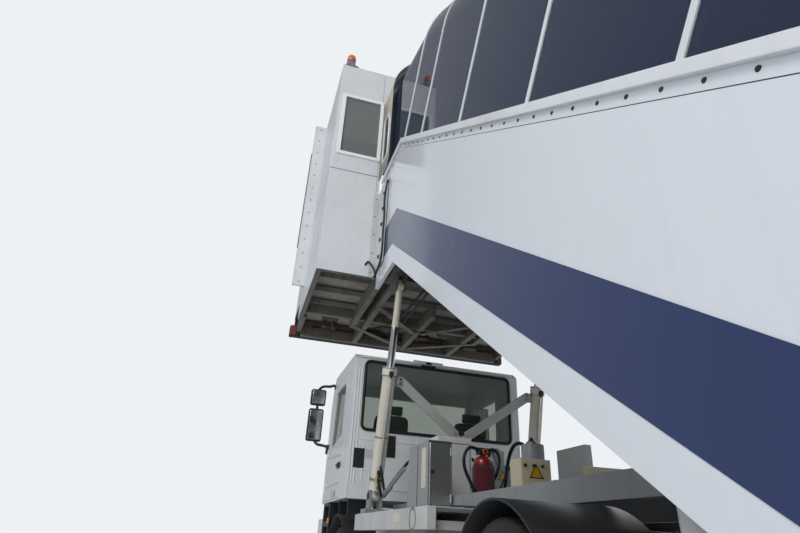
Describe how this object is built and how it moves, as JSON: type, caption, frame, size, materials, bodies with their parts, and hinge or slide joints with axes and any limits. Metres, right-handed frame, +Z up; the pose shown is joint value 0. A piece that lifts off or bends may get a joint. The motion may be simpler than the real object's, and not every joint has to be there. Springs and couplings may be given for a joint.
{
  "type": "mobile aircraft stairs",
  "caption": "Truck-mounted passenger stairs with a covered stairway, a windowed transfer platform with a folding front hood, and hydraulic lift legs.",
  "frame": {"origin": "on the ground under the middle of the outline", "axes": "+X forward along the truck, +Y to its left, +Z up"},
  "size_m": [8.47, 3.84, 6.98],
  "materials": {
    "chassis_black": "semi-gloss black paint",
    "subframe_grey": "semi-gloss grey paint",
    "engine_iron": "rough casting",
    "spring_steel": "matt black paint",
    "tank_aluminium": "rolled sheet",
    "cab_white": "gloss white paint",
    "cab_glass": "tinted glass",
    "seat_fabric": "woven cloth",
    "black_plastic": "grained black plastic",
    "lamp_lens": "clear lens",
    "deck_white": "gloss off-white paint",
    "stainless": "brushed stainless steel",
    "cabinet_white": "semi-gloss white paint",
    "cabinet_cream": "semi-gloss cream paint",
    "extinguisher_red": "gloss red paint",
    "hydraulic_grey": "semi-gloss grey paint",
    "rod_chrome": "hard chrome",
    "stair_grey": "semi-gloss grey paint",
    "step_aluminium": "ribbed mill finish",
    "panel_white": "high-gloss white paint",
    "stripe_blue": "high-gloss blue",
    "canopy_aluminium": "anodised",
    "canopy_tint": "dark tinted sheet",
    "platform_grey": "semi-gloss grey paint",
    "cabin_white": "gloss white paint",
    "cabin_window": "tinted glass",
    "hood_fabric": "coated cloth",
    "buffer_rubber": "smooth black rubber",
    "beacon_orange": "clear orange plastic",
    "lift_cream": "gloss cream paint",
    "axle_iron": "forged steel",
    "tyre_rubber": "road tyre",
    "rim_silver": "white-silver paint"
  },
  "bodies": {
    "chassis": {"chassis_frame": "chassis_black", "subframe": "subframe_grey", "engine_block": "engine_iron", "front_axle": "chassis_black", "rear_axle": "chassis_black", "leaf_springs": "spring_steel", "tanks": "tank_aluminium", "cab_shell": "cab_white", "cab_glass": "cab_glass", "cab_seats": "seat_fabric", "dashboard": "black_plastic", "grille_panel": "black_plastic", "front_bumper": "cab_white", "headlamps": "lamp_lens", "cab_mirrors": "black_plastic", "mudguards": "black_plastic", "cab_steps": "black_plastic", "side_deck": "deck_white", "control_cabinet": "stainless", "service_cabinet": "cabinet_white", "electric_box": "cabinet_cream", "fire_extinguisher": "extinguisher_red", "hydraulic_unit": "hydraulic_grey", "jack_housings": "deck_white"},
    "door_left": {"door_left": "cab_white", "door_glass_left": "cab_glass"},
    "door_right": {"door_right": "cab_white", "door_glass_right": "cab_glass"},
    "front_jacks": {"front_jacks": "rod_chrome"},
    "rear_jacks": {"rear_jacks": "rod_chrome"},
    "stairs": {"stair_frame": "stair_grey", "steps": "step_aluminium", "side_panels": "panel_white", "side_stripes": "stripe_blue", "handrails": "stainless", "canopy_frame": "canopy_aluminium", "canopy_glazing": "canopy_tint"},
    "platform": {"platform_frame": "platform_grey", "platform_floor": "step_aluminium", "cabin_walls": "cabin_white", "cabin_windows": "cabin_window", "cabin_roof": "cabin_white", "front_hood": "hood_fabric", "front_buffer": "buffer_rubber", "beacons": "beacon_orange"},
    "lift_legs": {"lift_barrels": "lift_cream", "sway_brace": "subframe_grey"},
    "lift_rods": {"lift_rods": "rod_chrome"},
    "knuckle_left": {"knuckle_left": "axle_iron"},
    "knuckle_right": {"knuckle_right": "axle_iron"},
    "wheel_front_left": {"tyre_front_left": "tyre_rubber", "rim_front_left": "rim_silver"},
    "wheel_front_right": {"tyre_front_right": "tyre_rubber", "rim_front_right": "rim_silver"},
    "wheel_rear_left": {"tyres_rear_left": "tyre_rubber", "rims_rear_left": "rim_silver"},
    "wheel_rear_right": {"tyres_rear_right": "tyre_rubber", "rims_rear_right": "rim_silver"}
  },
  "joints": [
    {"name": "stair_lift", "type": "hinge", "parent": "chassis", "child": "stairs", "pos_m": [-2.535, 0, 1.01], "axis": [0, -1, 0], "range_deg": [-5, 5]},
    {"name": "platform_level", "type": "hinge", "parent": "stairs", "child": "platform", "pos_m": [1.505, 0, 3.72], "axis": [0, -1, 0], "range_deg": [-5.1, 5.1]},
    {"name": "leg_swing", "type": "hinge", "parent": "chassis", "child": "lift_legs", "pos_m": [1.765, 0, 1.14], "axis": [0, -1, 0], "range_deg": [-2.9, 2.9]},
    {"name": "rod_slide", "type": "slide", "parent": "lift_legs", "child": "lift_rods", "axis": [-0.2556, 0, 0.9668], "range_m": [-0.37, 0.37]},
    {"name": "door_left_hinge", "type": "hinge", "parent": "chassis", "child": "door_left", "pos_m": [3.718, 1.069, 1.9], "axis": [0, 0, -1], "range_deg": [0, 70]},
    {"name": "door_right_hinge", "type": "hinge", "parent": "chassis", "child": "door_right", "pos_m": [3.718, -1.069, 1.9], "axis": [0, 0, 1], "range_deg": [0, 70]},
    {"name": "front_jack_slide", "type": "slide", "parent": "chassis", "child": "front_jacks", "axis": [0, 0, -1], "range_m": [0, 0.25]},
    {"name": "rear_jack_slide", "type": "slide", "parent": "chassis", "child": "rear_jacks", "axis": [0, 0, -1], "range_m": [0, 0.25]},
    {"name": "steer_left", "type": "hinge", "parent": "chassis", "child": "knuckle_left", "pos_m": [2.7, 0.78, 0.435], "axis": [0, 0, 1], "range_deg": [-38, 38]},
    {"name": "steer_right", "type": "hinge", "parent": "chassis", "child": "knuckle_right", "pos_m": [2.7, -0.78, 0.435], "axis": [0, 0, 1], "range_deg": [-38, 38]},
    {"name": "spin_front_left", "type": "hinge", "parent": "knuckle_left", "child": "wheel_front_left", "pos_m": [2.7, 0.9, 0.435], "axis": [0, 1, 0], "continuous": true},
    {"name": "spin_front_right", "type": "hinge", "parent": "knuckle_right", "child": "wheel_front_right", "pos_m": [2.7, -0.9, 0.435], "axis": [0, 1, 0], "continuous": true},
    {"name": "spin_rear_left", "type": "hinge", "parent": "chassis", "child": "wheel_rear_left", "pos_m": [-1.485, 0.985, 0.435], "axis": [0, 1, 0], "continuous": true},
    {"name": "spin_rear_right", "type": "hinge", "parent": "chassis", "child": "wheel_rear_right", "pos_m": [-1.485, -0.985, 0.435], "axis": [0, 1, 0], "continuous": true}
  ],
  "couplings": [
    {"joint": "platform_level", "follows": "stair_lift", "ratio": -1},
    {"joint": "leg_swing", "follows": "stair_lift", "ratio": 0.5476},
    {"joint": "rod_slide", "follows": "stair_lift", "m_per_rad": 4.19},
    {"joint": "steer_right", "follows": "steer_left", "ratio": 1}
  ]
}
